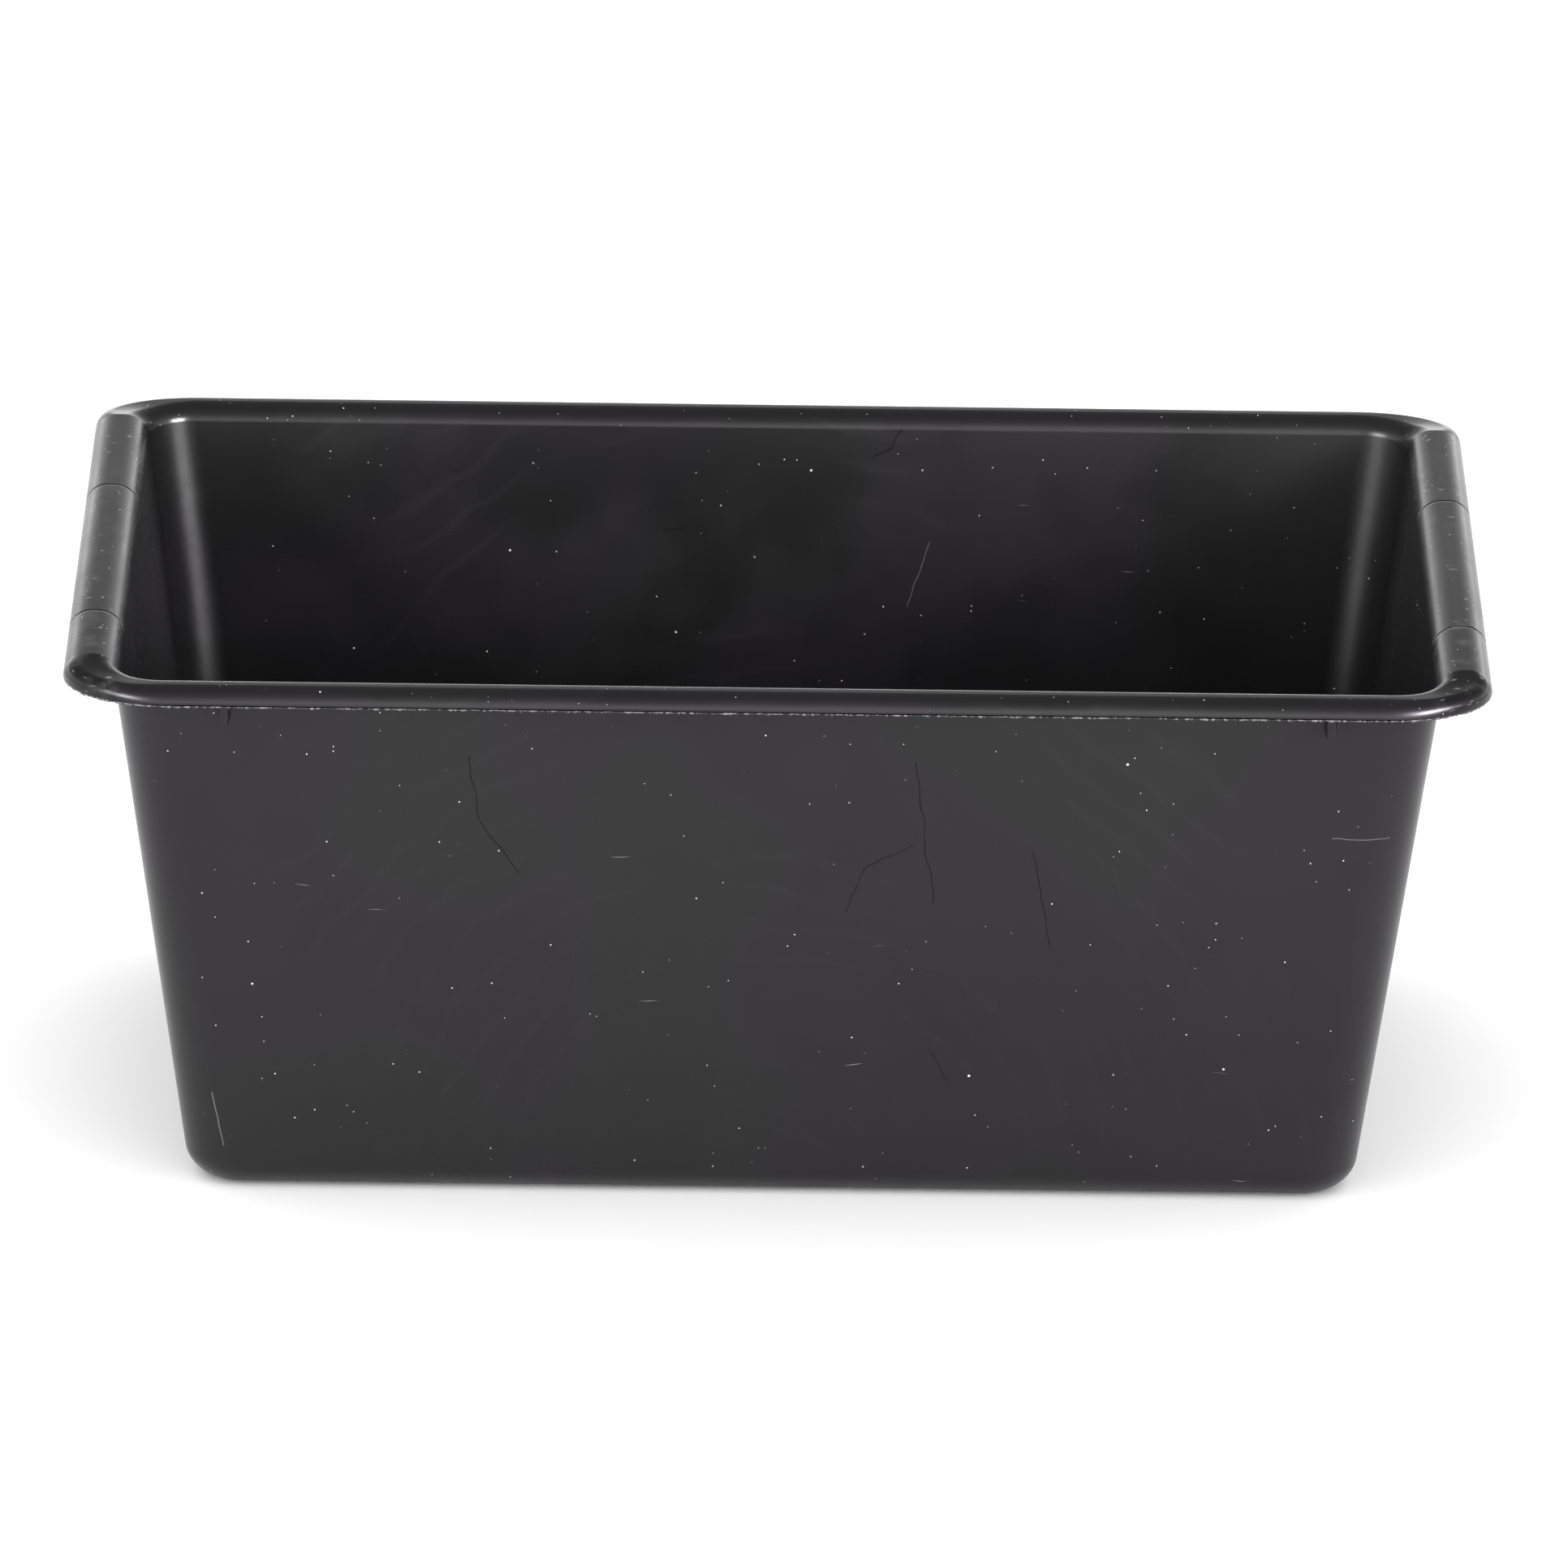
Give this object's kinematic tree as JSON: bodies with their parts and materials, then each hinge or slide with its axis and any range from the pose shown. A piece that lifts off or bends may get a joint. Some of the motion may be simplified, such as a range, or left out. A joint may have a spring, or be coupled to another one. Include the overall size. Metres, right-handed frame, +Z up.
{
  "type": "mortar mixing tub",
  "caption": "Black rectangular plastic mortar mixing tub with tapered sides, a rolled rim, half-round end grips and small stacking ribs.",
  "frame": {"origin": "middle of the underside of the floor, on the ground", "axes": "+X along the long sides towards the right-hand grip, +Y towards the rear long side, +Z up"},
  "size_m": [0.72, 0.446, 0.296],
  "materials": {
    "black_plastic": "moulded satin black polyolefin, scuffed"
  },
  "bodies": {
    "root": {"floor_pan": "black_plastic", "front_wall": "black_plastic", "rear_wall": "black_plastic", "left_end_wall": "black_plastic", "right_end_wall": "black_plastic", "front_left_corner_wall": "black_plastic", "front_right_corner_wall": "black_plastic", "rear_left_corner_wall": "black_plastic", "rear_right_corner_wall": "black_plastic", "front_rim": "black_plastic", "rear_rim": "black_plastic", "left_grip": "black_plastic", "right_grip": "black_plastic", "front_left_rim_corner": "black_plastic", "front_right_rim_corner": "black_plastic", "rear_left_rim_corner": "black_plastic", "rear_right_rim_corner": "black_plastic", "front_left_stacking_rib": "black_plastic", "front_right_stacking_rib": "black_plastic", "rear_left_stacking_rib": "black_plastic", "rear_right_stacking_rib": "black_plastic"}
  },
  "joints": []
}
